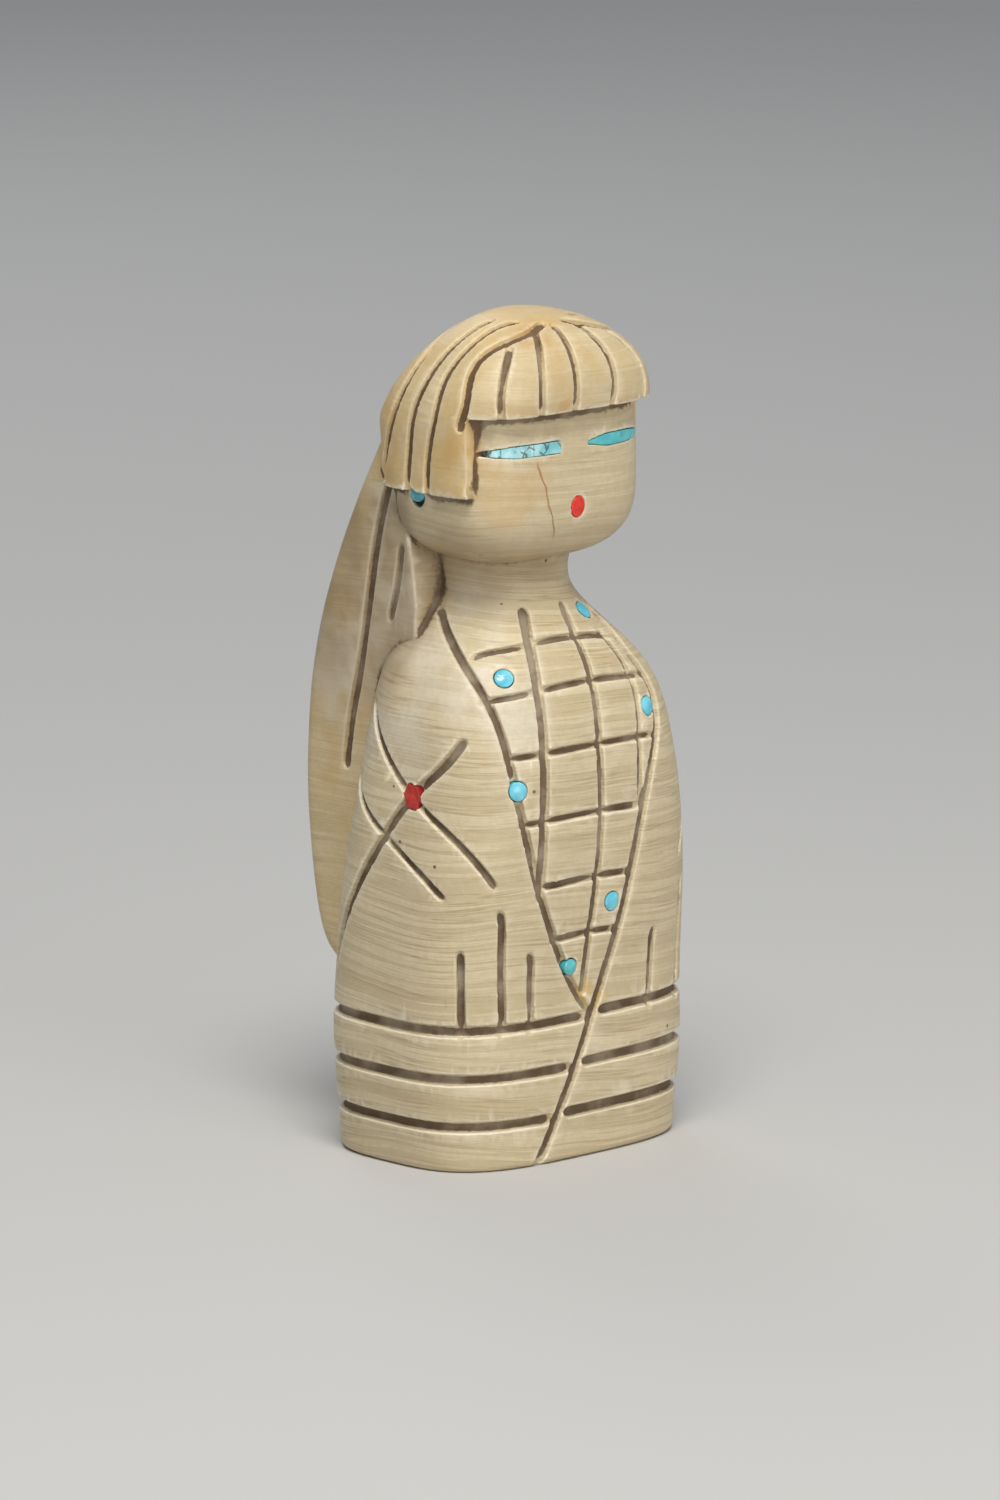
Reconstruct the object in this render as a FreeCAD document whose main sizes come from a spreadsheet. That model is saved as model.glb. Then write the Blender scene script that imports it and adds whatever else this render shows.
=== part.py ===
"""Carved stone maiden: one block of banded stone with turquoise and coral set into it.

The figure faces -Y and its right hand is on the -X side. Z is up, and the origin is the middle of
the flat base. Millimetres. Angles around the figure start at the front and grow towards its left.
"""
import FreeCAD, Part
import math
import os
from collections import namedtuple

import MeshPart
import Sketcher

Vector = FreeCAD.Vector
Stroke = namedtuple("Stroke", "cutter probe")  # a cutter, and a point that it has to take away

# Driving dimensions. Every one has a cell of that name in the Sizes sheet.
SIZES = {
    "body_height": 57.0,  # base to the narrowest part of the neck
    "skirt_half_width": 17.7,
    "skirt_half_depth": 12.4,
    "hem_round": 0.8,
    "chest_forward": 1.6,  # how far the chest leans ahead of the skirt
    "neck_radius": 7.1,
    "neck_back": 1.3,  # how far the neck stands behind the skirt's axis
    "chin_rise": 2.9,  # narrowest part of the neck to the underside of the chin
    "head_height": 25.2,  # chin to crown
    "jaw_rise": 8.0,  # height over which the jaw rounds in to the chin
    "face_half_width": 12.1,
    "face_half_depth": 8.4,
    "face_forward": 1.3,
    "hair_side": 1.0,  # thickness of the hair beside the face
    "hair_front": 0.8,  # how far the fringe overhangs the face
    "hair_back": 0.7,  # how far the cap reaches behind the head
    "dome_height": 10.6,  # height over which the hair rounds in to the crown
    "crown_lean": 1.8,  # how far the dome leans forward half way up
    "fringe_length": 9.3,  # crown to the lower edge of the fringe
    "lock_length": 17.3,  # crown to the lower edge of the side locks
    "right_lock_front": 6.9,
    "left_lock_front": 5.2,
    "fall_half_width": 10.6,  # the long hair down the back
    "fall_stand": 7.2,  # how far it stands out behind the skirt
    "fall_round": 2.4,
    "fall_end": 16.4,  # height of its lower end above the base
    "band_height": 4.7,  # lowest skirt band above the base
    "band_pitch": 4.95,
    "broad_width": 1.15,
    "broad_depth": 0.7,
    "medium_width": 0.9,
    "medium_depth": 0.6,
    "fine_width": 0.75,
    "fine_depth": 0.5,
    "parting_width": 1.0,  # strokes in the hair
    "parting_depth": 0.6,
    "strand_width": 0.8,
    "strand_depth": 0.5,
    "glue_gap": 0.05,
    "seat_depth": 1.1,  # how deep an inlay sits in the stone
    "dot_diameter": 2.0,
    "dot_rim": 0.02,  # edge of a dot above the stone
    "dot_dome": 0.22,  # crown of a dot above its edge
    "tip_dot_diameter": 1.7,
    "ear_diameter": 1.9,
    "eye_inner": 1.9,  # eye's inner end from the middle of the face
    "eye_length": 9.1,
    "eye_tall": 1.15,
    "eye_drop": 3.6,  # fringe edge to the middle of the eyes
    "slip_gap": 0.06,  # joint between neighbouring slips of turquoise
    "mouth_width": 1.8,
    "mouth_tall": 2.1,
    "mouth_drop": 9.9,  # fringe edge to the middle of the mouth
    "chip_long": 2.9,  # arm chip, along the sleeve line
    "chip_wide": 2.1,
}

# How the torso fills out from neck (0) to skirt (1): share of body height, fullness,
# share of the chest's lean, share of the neck's set-back, squareness of the plan.
TORSO = [
    (0.00, 0.93, 0.0, 0.0, 3.3),
    (0.08, 0.96, 0.0, 0.0, 3.3),
    (0.17, 1.00, 0.0, 0.0, 3.3),
    (0.26, 1.00, 0.0, 0.0, 3.3),
    (0.37, 0.99, 0.2, 0.0, 3.3),
    (0.47, 0.97, 0.5, 0.0, 3.3),
    (0.57, 0.93, 0.8, 0.0, 3.2),
    (0.66, 0.87, 1.0, 0.0, 3.1),
    (0.76, 0.77, 1.0, 0.0, 3.0),
    (0.84, 0.64, 0.7, 0.0, 2.8),
    (0.90, 0.42, 0.3, 0.1, 2.6),
    (0.95, 0.18, 0.0, 0.5, 2.3),
    (1.00, 0.00, 0.0, 1.0, 2.1),
]

# Strokes cut in the torso: (angle, share of body height) along the line.
LAPEL = [(-94, 0.958), (-62, 0.882), (-48, 0.80), (-40, 0.66), (-30, 0.474), (-16, 0.335), (-4, 0.268)]
WRAP_EDGE = [(47, 0.947), (41, 0.88), (40, 0.79), (33, 0.705), (23, 0.57), (16, 0.44), (1, 0.274),
             (-15, 0.135), (-30, 0.012)]
BROAD_KERNEL_ROW = [(-31, 0.965), (-30, 0.85), (-29, 0.73), (-30, 0.60), (-31, 0.50)]
MIDDLE_KERNEL_ROW = [(12, 0.965), (4, 0.85), (1.5, 0.72), (0, 0.54), (-3, 0.435), (-7, 0.31)]
FINE_KERNEL_ROW = [(31, 0.918), (30, 0.84), (26, 0.74), (24, 0.63)]
KERNEL_RINGS = [  # height, first and last angle, rise towards the middle
    (0.905, -59, 30, 0.018),
    (0.835, -52, 35, 0.016),
    (0.738, -42, 31, 0.004),
    (0.620, -37, 20, 0.004),
    (0.504, -30, 18, 0.003),
    (0.405, -23, 11, 0.003),
]
SLITS = [  # angle and top of each pleat cut above the top band
    (-59, 0.385), (-46, 0.455), (-35, 0.372), (34, 0.375), (51, 0.455), (62, 0.37),
]
SLEEVE_UPPER = [(-110, 0.80), (-95, 0.725), (-79, 0.663), (-65, 0.614), (-49, 0.522)]
SLEEVE_EDGE = [(-61, 0.757), (-67, 0.72), (-79, 0.663), (-89, 0.60), (-104, 0.48), (-117, 0.345)]
SLEEVE_LOWER = [(-113, 0.67), (-94, 0.597), (-84, 0.567), (-66, 0.50)]

# Strokes in the hair: (angle, share of the height from lock edge to crown).
PART_LINE = [(-20, 0.944), (-46, 0.89), (-64, 0.78), (-66, 0.65), (-67, 0.52), (-68, 0.45)]
FRONT_STRAND = [(-48, 0.96), (-71, 0.87), (-80, 0.68), (-82, 0.50), (-85, 0.30), (-87, 0.0)]
MIDDLE_STRAND = [(-74, 0.96), (-85, 0.86), (-91, 0.68), (-95, 0.50), (-98, 0.25), (-100, 0.0)]
REAR_STRAND = [(-124, 0.95), (-111, 0.87), (-105, 0.76), (-105, 0.62), (-108, 0.45), (-113, 0.26), (-118, 0.0)]
FRINGE_STRANDS = [(-48, 0.84), (-29, 0.93), (-6, 0.93), (22, 0.93), (43, 0.85)]
BACK_STRANDS = [-0.72, -0.36, 0.0, 0.36, 0.72]  # share of the fall's half width
FALL_SIDE = [(6.4, 1.17), (8.7, 1.015), (10.3, 0.86), (11.4, 0.78), (12.4, 0.68)]  # depth, share of body
FALL_EDGE = [(4.4, 1.065), (5.0, 1.005), (5.8, 0.955)]

# Turquoise dots: name, angle, share of body height, size cell.
DOTS = [
    ("chest_dot_right_shoulder", -45.5, 0.872, "dot_diameter"),
    ("chest_dot_left_shoulder", 36.0, 0.956, "dot_diameter"),
    ("chest_dot_left_breast", 34.5, 0.789, "dot_diameter"),
    ("chest_dot_right_side", -40.0, 0.681, "dot_diameter"),
    ("chest_dot_left_waist", 9.0, 0.456, "dot_diameter"),
    ("chest_dot_lapel_tip", -15.0, 0.351, "tip_dot_diameter"),
]
CHIP_ANGLE = -79.0
CHIP_SHARE = 0.663
CHIP_TILT = 31.0  # sleeve line from the vertical, seen from the side

doc = FreeCAD.newDocument("CarvedMaiden")
sheet = doc.addObject("Spreadsheet::Sheet", "Sizes")
for row, (alias, value) in enumerate(SIZES.items(), start=1):
    sheet.set(f"A{row}", alias)
    sheet.set(f"B{row}", str(value))
    sheet.setAlias(f"B{row}", alias)
doc.recompute()


def size(alias):
    """The value of a cell in the sheet."""
    return float(sheet.get(alias))


chin_level = size("body_height") + size("chin_rise")
crown_level = chin_level + size("head_height")
fringe_level = crown_level - size("fringe_length")
lock_level = crown_level - size("lock_length")
dome_level = crown_level - size("dome_height")
face_y = -size("face_forward")
hair_half_width = size("face_half_width") + size("hair_side")
hair_half_depth = size("face_half_depth") + size("hair_front") + size("hair_back") / 2
hair_y = face_y + size("hair_back") / 2
head_centre = Vector(0, face_y, dome_level)


# ---- the blank: the forms that the strokes and seats are cut into ----


def plan(level, half_width, half_depth, centre_y, squareness):
    """A level outline: a superellipse, round at 2 and squarer above it."""
    count = 36
    points = []
    for step in range(count):
        turn = 2 * math.pi * step / count
        across = math.cos(turn)
        along = math.sin(turn)
        reach = (abs(across) ** squareness + abs(along) ** squareness) ** (-1 / squareness)
        points.append(Vector(half_width * reach * across, centre_y + half_depth * reach * along, level))
    curve = Part.BSplineCurve()
    curve.interpolate(Points=points, PeriodicFlag=True, Parameters=[float(k) for k in range(count + 1)])
    return Part.Wire([curve.toShape()])


def loft(outlines):
    return Part.makeLoft(outlines, True, False, False, 5)


def torso_form():
    """Skirt, chest, shoulders and neck, up into the head."""
    neck = size("neck_radius")
    outlines = []
    for share, fullness, chest, set_back, squareness in TORSO:
        outlines.append(plan(
            share * size("body_height"),
            neck + (size("skirt_half_width") - neck) * fullness,
            neck + (size("skirt_half_depth") - neck) * fullness,
            size("neck_back") * set_back - size("chest_forward") * chest,
            squareness,
        ))
    for rise in (1.0, 2.0):
        level = size("body_height") + rise * size("chin_rise")
        outlines.append(plan(level, neck, neck, size("neck_back"), 2.0))
    form = loft(outlines)
    hem = [edge for edge in form.Edges if edge.BoundBox.ZMax < 0.01]
    return form.makeFillet(size("hem_round"), hem)


def head_form():
    """Jaw, face and the inner head that the hair covers."""
    half_width = size("face_half_width")
    half_depth = size("face_half_depth")
    outlines = []
    for step in range(9):
        turn = math.radians(11 + step * 79 / 8)
        level = chin_level + size("jaw_rise") * (1 - math.cos(turn) ** (2 / 3))
        scale = math.sin(turn) ** (2 / 3)
        outlines.append(plan(level, half_width * scale, half_depth * scale, face_y, 2.4 + scale))
    jaw_level = chin_level + size("jaw_rise")
    for share, scale in ((0.35, 1.0), (0.75, 0.98), (1.0, 0.96), (1.3, 0.91)):
        level = jaw_level + (fringe_level - jaw_level) * share
        outlines.append(plan(level, half_width * scale, half_depth * scale, face_y, 3.4))
    return loft(outlines)


def hair_cap_form():
    """The full cap of hair, before the face is opened in it."""
    outlines = []
    for share in (0.0, 0.25, 0.5, 0.75):
        level = lock_level + (dome_level - lock_level) * share
        outlines.append(plan(level, hair_half_width, hair_half_depth, hair_y, 3.5 + 0.2 * share))
    for step in range(12):
        turn = math.radians(step * 7.6)
        scale = math.cos(turn) ** 0.86
        outlines.append(plan(
            dome_level + size("dome_height") * math.sin(turn),
            hair_half_width * scale,
            hair_half_depth * scale,
            hair_y - size("crown_lean") * math.sin(2 * turn),
            3.7 - 1.6 * math.sin(turn) ** 2,
        ))
    return loft(outlines)


def face_window():
    """The space in front of the face, below the fringe and between the side locks."""
    right = -size("right_lock_front")
    left = -size("left_lock_front")
    reach = 3 * hair_half_width
    outline = [(-reach, -reach), (reach, -reach), (reach, left), (3, left), (-3, right), (-reach, right)]
    corners = [Vector(x, y, chin_level - size("chin_rise")) for x, y in outline]
    height = fringe_level - corners[0].z
    return Part.Face(Part.makePolygon(corners + corners[:1])).extrude(Vector(0, 0, height))


def fall_sweep():
    """The back of the long hair in side view, from its top to its lower end."""
    back = size("skirt_half_depth") + size("fall_stand")
    body = size("body_height")
    end = size("fall_end")
    hair_back = hair_y + hair_half_depth
    points = [
        Vector(0, hair_back - 3.6, crown_level - 6.8),
        Vector(0, hair_back + 0.4, crown_level - 14.0),
        Vector(0, back - 4.1, 1.02 * body),
        Vector(0, back - 0.7, 0.81 * body),
        Vector(0, back, 0.62 * body),
        Vector(0, back - 1.2, end + 7.6),
        Vector(0, back - 3.2, end + 2.2),
        Vector(0, size("skirt_half_depth") - 0.6, end),
    ]
    curve = Part.BSplineCurve()
    curve.interpolate(points)
    return points, curve


fall_profile, fall_curve = fall_sweep()


def fall_form():
    """The long hair: a slab with a swept back, rounded along its outer edges."""
    end = size("fall_end")
    inner = [
        fall_profile[-1],
        Vector(0, 4.0, end + 4.0),
        Vector(0, 2.2, chin_level - 4.5),
        Vector(0, 2.8, chin_level),
        Vector(0, 3.6, chin_level + 4.0),
        Vector(0, 3.2, fall_profile[0].z),
        fall_profile[0],
    ]
    outline = Part.Wire([fall_curve.toShape()] + Part.makePolygon(inner).Edges)
    outline.translate(Vector(-size("fall_half_width"), 0, 0))
    slab = Part.Face(outline).extrude(Vector(2 * size("fall_half_width"), 0, 0))
    swept = [edge for edge in slab.Edges if isinstance(edge.Curve, Part.BSplineCurve)]
    outer = [edge for edge in swept if edge.Length > size("body_height") / 2]
    return slab.makeFillet(size("fall_round"), outer)


torso = torso_form()
head = head_form()
hair_cap = hair_cap_form()
fall = fall_form()
hair = hair_cap.cut(face_window())


# ---- points on the skin ----


def broadest_face(form):
    return max(form.Faces, key=lambda face: face.Area)


torso_side = broadest_face(torso).Surface
head_side = broadest_face(head).Surface
hair_side = broadest_face(hair_cap).Surface


def solve(measure, target, low, high):
    """The value between low and high where a steadily changing measure meets its target."""
    rising = measure(high) > measure(low)
    for _ in range(40):
        middle = (low + high) / 2
        if (measure(middle) < target) == rising:
            low = middle
        else:
            high = middle
    return (low + high) / 2


def level_row(side, level):
    """The row of a lofted side that lies at a level."""
    first, last = side.bounds()[2:]
    return solve(lambda row: side.value(0, row).z, level, first, last)


def ring_point(side, centre_y, angle, level):
    """The point of a lofted side at a level, seen at an angle from its axis."""
    row = level_row(side, level)
    start, end = side.bounds()[:2]

    def turn(column):
        point = side.value(column, row)
        return math.degrees(math.atan2(point.y - centre_y, point.x))

    seam = turn(start)
    inset = (end - start) / 10000
    column = solve(lambda c: (turn(c) - seam) % 360, (angle - 90 - seam) % 360, start + inset, end - inset)
    return side.value(column, row)


def across_point(side, across, level):
    """The point of a lofted side's back half at a level and a distance from the middle."""
    row = level_row(side, level)
    start, end = side.bounds()[:2]
    column = solve(lambda c: side.value(c, row).x, across, start, (start + end) / 2)
    return side.value(column, row)


def outward(side, point, away):
    """The unit normal of a side surface at a point, on the side that faces away."""
    normal = side.normal(*side.parameter(point))
    return normal if normal.dot(away) > 0 else -normal


def around(angle):
    turn = math.radians(angle)
    return Vector(math.sin(turn), -math.cos(turn), 0)


def torso_point(angle, share):
    return ring_point(torso_side, 0, angle, share * size("body_height"))


def hair_point(angle, share):
    return ring_point(hair_side, face_y, angle, lock_level + share * (crown_level - lock_level))


def fall_side_point(depth, share):
    return Vector(-size("fall_half_width"), depth, share * size("body_height"))


def cap_back_point(across, level):
    return across_point(hair_side, across, level)


def fall_back_point(across, level):
    spot = solve(lambda t: fall_curve.value(t).z, level, 0, fall_curve.LastParameter)
    return Vector(across, fall_curve.value(spot).y, level)


def stand_out(level):
    """How far the fall's back stands out behind the cap's at a level."""
    return fall_back_point(0, level).y - cap_back_point(0, level).y


# ---- strokes ----


def charted_line(chart, find, spacing):
    """Points of the skin along a smooth line through the chart's (angle, share) points."""
    curve = Part.BSplineCurve()
    curve.interpolate([Vector(angle, share * 100, 0) for angle, share in chart])
    edge = curve.toShape()
    rough = [find(p.x, p.y / 100) for p in edge.discretize(Number=5)]
    length = sum(rough[i].distanceToPoint(rough[i + 1]) for i in range(4))
    count = max(4, round(length / spacing))
    return [find(p.x, p.y / 100) for p in edge.discretize(Number=count)]


def run_past(end, before, lift):
    """Where the cutter goes past an end of its stroke: onwards, and up by the lift."""
    onward = end - before
    onward.normalize()
    return end + onward + lift


def stroke(points, cut, axis_of, rises=(True, True)):
    """A round cutter drawn along skin points. It rises out of the stone at an end, or goes on level."""
    width = size(cut + "_width")
    depth = size(cut + "_depth")
    radius = (width ** 2 / 4 + depth ** 2) / (2 * depth)
    path = []
    lifts = []
    for point in points:
        away = point - axis_of(point)
        away.normalize()
        lifts.append(away * 1.6 * radius)
        path.append(point + away * (radius - depth))
    middle = len(points) // 2
    probe = points[middle] - lifts[middle] * (0.4 * depth / (1.6 * radius))
    first = run_past(path[0], path[1], lifts[0] if rises[0] else Vector())
    last = run_past(path[-1], path[-2], lifts[-1] if rises[1] else Vector())
    path = [first] + path + [last]
    curve = Part.BSplineCurve()
    curve.interpolate(path)
    rings = []
    for point in path:
        along = curve.tangent(curve.parameter(point))[0]
        rings.append(Part.Wire([Part.makeCircle(radius, point, along)]))
    return Stroke(Part.makeLoft(rings, True, False, False, 3), probe)


def axis_point(point):
    """The middle of the torso at a skin point's level."""
    return Vector(0, 0, point.z)


def middle_of_head(_point):
    return head_centre


def torso_stroke(chart, cut, rises=(True, True)):
    return stroke(charted_line(chart, torso_point, 3.0), cut, axis_point, rises)


def hair_stroke(chart, cut):
    return stroke(charted_line(chart, hair_point, 2.6), cut, middle_of_head, (True, False))


def mirrored(chart):
    return [(-angle, other) for angle, other in chart]


def chest_strokes():
    cuts = [
        torso_stroke(LAPEL, "medium"),
        torso_stroke(WRAP_EDGE, "broad", (True, False)),
        torso_stroke(BROAD_KERNEL_ROW, "broad"),
        torso_stroke(MIDDLE_KERNEL_ROW, "medium"),
        torso_stroke(FINE_KERNEL_ROW, "fine"),
    ]
    for share, first, last, rise in KERNEL_RINGS:
        middle = (first + last) / 2
        chart = [(first, share), (middle, share + rise), (last, share + rise / 2)]
        cuts.append(torso_stroke(chart, "fine"))
    return cuts


def wrap_angle(level):
    """Where the wrap's front edge passes a level near the hem."""
    shares = [(share, angle) for angle, share in WRAP_EDGE[-3:]]
    share = level / size("body_height")
    (top, top_angle), (mid, mid_angle), (low, low_angle) = shares
    if share > mid:
        return mid_angle + (top_angle - mid_angle) * (share - mid) / (top - mid)
    return low_angle + (mid_angle - low_angle) * (share - low) / (mid - low)


def skirt_strokes():
    cuts = []
    body = size("body_height")
    for band in range(3):
        level = size("band_height") + band * size("band_pitch")
        seam = wrap_angle(level)
        share = level / body
        right = [(seam - 7, share), (-60, share), (-110, share), (-172, share)]
        left = [(seam + 10, share + 0.005), (50, share + 0.005), (110, share + 0.004), (172, share + 0.004)]
        cuts.append(torso_stroke(right, "broad"))
        cuts.append(torso_stroke(left, "broad"))
    pleat_end = (size("band_height") + 2 * size("band_pitch")) / body + 0.003
    for angle, top in SLITS:
        middle = (top + pleat_end) / 2
        cuts.append(torso_stroke([(angle, top), (angle, middle), (angle, pleat_end)], "medium"))
    return cuts


def sleeve_strokes():
    cuts = []
    for turned in (list, mirrored):
        cuts.append(torso_stroke(turned(SLEEVE_UPPER), "fine"))
        cuts.append(torso_stroke(turned(SLEEVE_EDGE), "broad"))
        cuts.append(torso_stroke(turned(SLEEVE_LOWER), "fine"))
    return cuts


def hair_strokes():
    cuts = []
    for turned in (list, mirrored):
        cuts.append(hair_stroke(turned(PART_LINE), "parting"))
        for chart in (FRONT_STRAND, MIDDLE_STRAND, REAR_STRAND):
            cuts.append(hair_stroke(turned(chart), "strand"))
    edge = (fringe_level - lock_level) / (crown_level - lock_level)
    for angle, top in FRINGE_STRANDS:
        chart = [(angle, top), (angle * 1.05, edge + (top - edge) / 2), (angle * 1.05, edge)]
        cuts.append(hair_stroke(chart, "strand"))
    return cuts


def cap_back_strokes():
    """Strands that run down the back of the cap to where the fall takes over."""
    cuts = []
    meeting = solve(stand_out, 0, lock_level, fall_profile[0].z - 0.5)
    for share in BACK_STRANDS:
        across = share * size("fall_half_width")
        drop = 2.2 + 2.6 * share ** 2
        levels = [crown_level - drop + (meeting - crown_level + drop) * (step / 6) ** 1.3 for step in range(7)]
        points = [cap_back_point(across, level) for level in levels]
        cuts.append(stroke(points, "strand", middle_of_head, (True, False)))
    return cuts


def fall_strokes():
    cuts = []
    meeting = solve(stand_out, 0, lock_level, fall_profile[0].z - 0.5)
    end = size("fall_end") + 4.5
    for share in BACK_STRANDS:
        across = share * size("fall_half_width")
        levels = [meeting - 0.6 + (end - meeting + 0.6) * step / 14 for step in range(15)]
        points = [fall_back_point(across, level) for level in levels]
        cuts.append(stroke(points, "strand", lambda p: Vector(p.x, 0, p.z), (False, True)))
    for chart, cut in ((FALL_SIDE, "broad"), (FALL_EDGE, "medium")):
        groove = stroke(charted_line(chart, fall_side_point, 3.0), cut, lambda p: Vector(0, p.y, p.z))
        cuts.append(groove)
        other = groove.cutter.mirror(Vector(0, 0, 0), Vector(1, 0, 0))
        cuts.append(Stroke(other, Vector(-groove.probe.x, groove.probe.y, groove.probe.z)))
    return cuts


# ---- inlays: each piece and the seat that is cut for it ----

seats = {"torso": [], "head": [], "hair": []}
inlays = []


def round_dot(label, diameter_alias, place, normal, seated_in):
    """A domed disc of turquoise standing on the floor of a drilled seat."""
    body = doc.addObject("PartDesign::Body", label)
    body.Label = label
    sketch = body.newObject("Sketcher::SketchObject", label + "_profile")
    plane = next(f for f in body.Origin.OriginFeatures if f.Role == "XZ_Plane")
    sketch.AttachmentSupport = (plane, "")
    sketch.MapMode = "FlatFace"
    radius = size(diameter_alias) / 2
    rim = size("seat_depth") + size("dot_rim")
    crown = rim + size("dot_dome")
    bulge = Part.Arc(Vector(radius, rim, 0), Vector(0.55 * radius, rim + 0.7 * size("dot_dome"), 0),
                     Vector(0, crown, 0))
    floor = sketch.addGeometry(Part.LineSegment(Vector(0, 0, 0), Vector(radius, 0, 0)))
    wall = sketch.addGeometry(Part.LineSegment(Vector(radius, 0, 0), Vector(radius, rim, 0)))
    dome = sketch.addGeometry(bulge)
    axis = sketch.addGeometry(Part.LineSegment(Vector(0, crown, 0), Vector(0, 0, 0)))
    high, low = (2, 1) if sketch.getPoint(dome, 2).y > sketch.getPoint(dome, 1).y else (1, 2)
    centre = 3
    sketch.addConstraint([
        Sketcher.Constraint("Coincident", floor, 1, -1, 1),
        Sketcher.Constraint("Coincident", floor, 2, wall, 1),
        Sketcher.Constraint("Coincident", wall, 2, dome, low),
        Sketcher.Constraint("Coincident", dome, high, axis, 1),
        Sketcher.Constraint("Coincident", axis, 2, floor, 1),
        Sketcher.Constraint("Horizontal", floor),
        Sketcher.Constraint("Vertical", wall),
        Sketcher.Constraint("Vertical", axis),
        Sketcher.Constraint("PointOnObject", dome, centre, -2),
    ])
    for name, kind, where, expression in (
        ("radius", "DistanceX", floor, f"Sizes.{diameter_alias} / 2"),
        ("rim", "DistanceY", wall, "Sizes.seat_depth + Sizes.dot_rim"),
        ("crown", "DistanceY", axis, "-(Sizes.seat_depth + Sizes.dot_rim + Sizes.dot_dome)"),
    ):
        start = sketch.getPoint(where, 1)
        end = sketch.getPoint(where, 2)
        span = end.x - start.x if kind == "DistanceX" else end.y - start.y
        number = sketch.addConstraint(Sketcher.Constraint(kind, where, 1, where, 2, span))
        sketch.renameConstraint(number, name)
        sketch.setExpression(f"Constraints.{name}", expression)
    turned = body.newObject("PartDesign::Revolution", label + "_turned")
    turned.Profile = sketch
    turned.ReferenceAxis = (sketch, ["V_Axis"])
    turned.Angle = 360.0
    body.Tip = turned
    floor_point = place - normal * size("seat_depth")
    body.Placement = FreeCAD.Placement(floor_point, FreeCAD.Rotation(Vector(0, 0, 1), normal))
    inlays.append(body)

    seat = doc.addObject("Part::Cylinder", label + "_seat")
    seat.setExpression("Radius", f"Sizes.{diameter_alias} / 2 + Sizes.glue_gap")
    seat.setExpression("Height", "Sizes.seat_depth + 1.2")
    seat.Placement = body.Placement
    for form in seated_in:
        seats[form].append(seat)


def chest_dots():
    for label, angle, share, alias in DOTS:
        place = torso_point(angle, share)
        round_dot(label, alias, place, outward(torso_side, place, around(angle)), ["torso"])


def ear_drops():
    """Turquoise under the edge of each side lock, a little proud of the head."""
    level = lock_level - size("ear_diameter") / 2 + 0.25
    for label, side in (("right_ear_drop", -1), ("left_ear_drop", 1)):
        place = ring_point(head_side, face_y, side * 98, level)
        round_dot(label, "ear_diameter", place, Vector(side, 0, 0), ["head", "hair"])


def set_flush(label, prism, wider_prism, form, inward, seated_in):
    """A stone ground flush with a form. It stands on a floor that follows the skin, inward of it."""
    core = doc.addObject("Part::Feature", label + "_floor")
    core.Shape = form.Shape.translated(inward)
    shaped = doc.addObject("Part::Common", label + "_shaped")
    shaped.Base = prism
    shaped.Tool = form
    piece = doc.addObject("Part::Cut", label)
    piece.Label = label
    piece.Base = shaped
    piece.Tool = core
    inlays.append(piece)
    seat = doc.addObject("Part::Cut", label + "_seat")
    seat.Base = wider_prism
    seat.Tool = core
    seats[seated_in].append(seat)


def prism_from(label, outline, origin, across, upright, depth_vector, growth):
    """A closed outline of points, or of (x, y) pairs, grown and extruded from a plane."""
    face = Part.Face(outline)
    if growth:
        face = face.makeOffset2D(growth, join=0)
    turn = FreeCAD.Matrix(
        across.x, upright.x, depth_vector.x / depth_vector.Length, origin.x,
        across.y, upright.y, depth_vector.y / depth_vector.Length, origin.y,
        across.z, upright.z, depth_vector.z / depth_vector.Length, origin.z,
        0, 0, 0, 1)
    solid = face.extrude(Vector(0, 0, depth_vector.Length)).transformGeometry(turn)
    prism = doc.addObject("Part::Feature", label)
    prism.Shape = solid
    return prism


head_skin = doc.addObject("Part::Feature", "head_skin")
head_skin.Shape = head
torso_skin = doc.addObject("Part::Feature", "torso_skin")
torso_skin.Shape = torso


def eye_outline(first, last, blunt_inner):
    """A long leaf between two shares of the eye's length, from its inner end outwards."""
    length = size("eye_length")
    half = size("eye_tall") / 2

    def half_height(share):
        inner = 1.0 if blunt_inner else min(1.0, (share / 0.3) ** 0.7)
        return max(0.12, half * inner * min(1.0, ((1.02 - share) / 0.4) ** 0.6))

    shares = [first + (last - first) * step / 6 for step in range(7)]
    upper = [Vector(length * s, half_height(s), 0) for s in shares]
    lower = [Vector(length * s, -half_height(s), 0) for s in reversed(shares)]
    top = Part.BSplineCurve()
    top.interpolate(upper)
    bottom = Part.BSplineCurve()
    bottom.interpolate(lower)
    outer_end = Part.LineSegment(upper[-1], lower[0]).toShape()
    inner_end = Part.LineSegment(lower[-1], upper[0]).toShape()
    return Part.Wire([top.toShape(), outer_end, bottom.toShape(), inner_end])


def eyes():
    """Three slips of turquoise lie in the right eye, short of its outer tip, and one fills the left."""
    level = fringe_level - size("eye_drop")
    inward = Vector(0, size("seat_depth"), 0)
    joint = size("slip_gap") / size("eye_length") / 2
    plans = [
        ("right_eye_slip_inner", -1, 0.0, 0.39, 0.39, True),
        ("right_eye_slip_middle", -1, 0.39, 0.79, 0.79, True),
        ("right_eye_slip_outer", -1, 0.79, 0.89, 1.0, True),
        ("left_eye_slip", 1, 0.0, 0.97, 0.97, False),
    ]
    for label, side, first, last, seat_last, blunt in plans:
        trimmed_first = first + (joint if first > 0 else 0)
        trimmed_last = last - (joint if side < 0 else 0)
        origin = Vector(side * size("eye_inner"), -3 * size("face_half_depth"), level)
        across = Vector(side, 0, 0)
        upright = Vector(0, 0, side)
        depth = Vector(0, 3 * size("face_half_depth"), 0)
        shape = eye_outline(trimmed_first, trimmed_last, blunt)
        prism = prism_from(label + "_prism", shape, origin, across, upright, depth, 0)
        room = eye_outline(first, seat_last, blunt)
        wider = prism_from(label + "_room", room, origin, across, upright, depth, size("glue_gap"))
        set_flush(label, prism, wider, head_skin, inward, "head")


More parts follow.
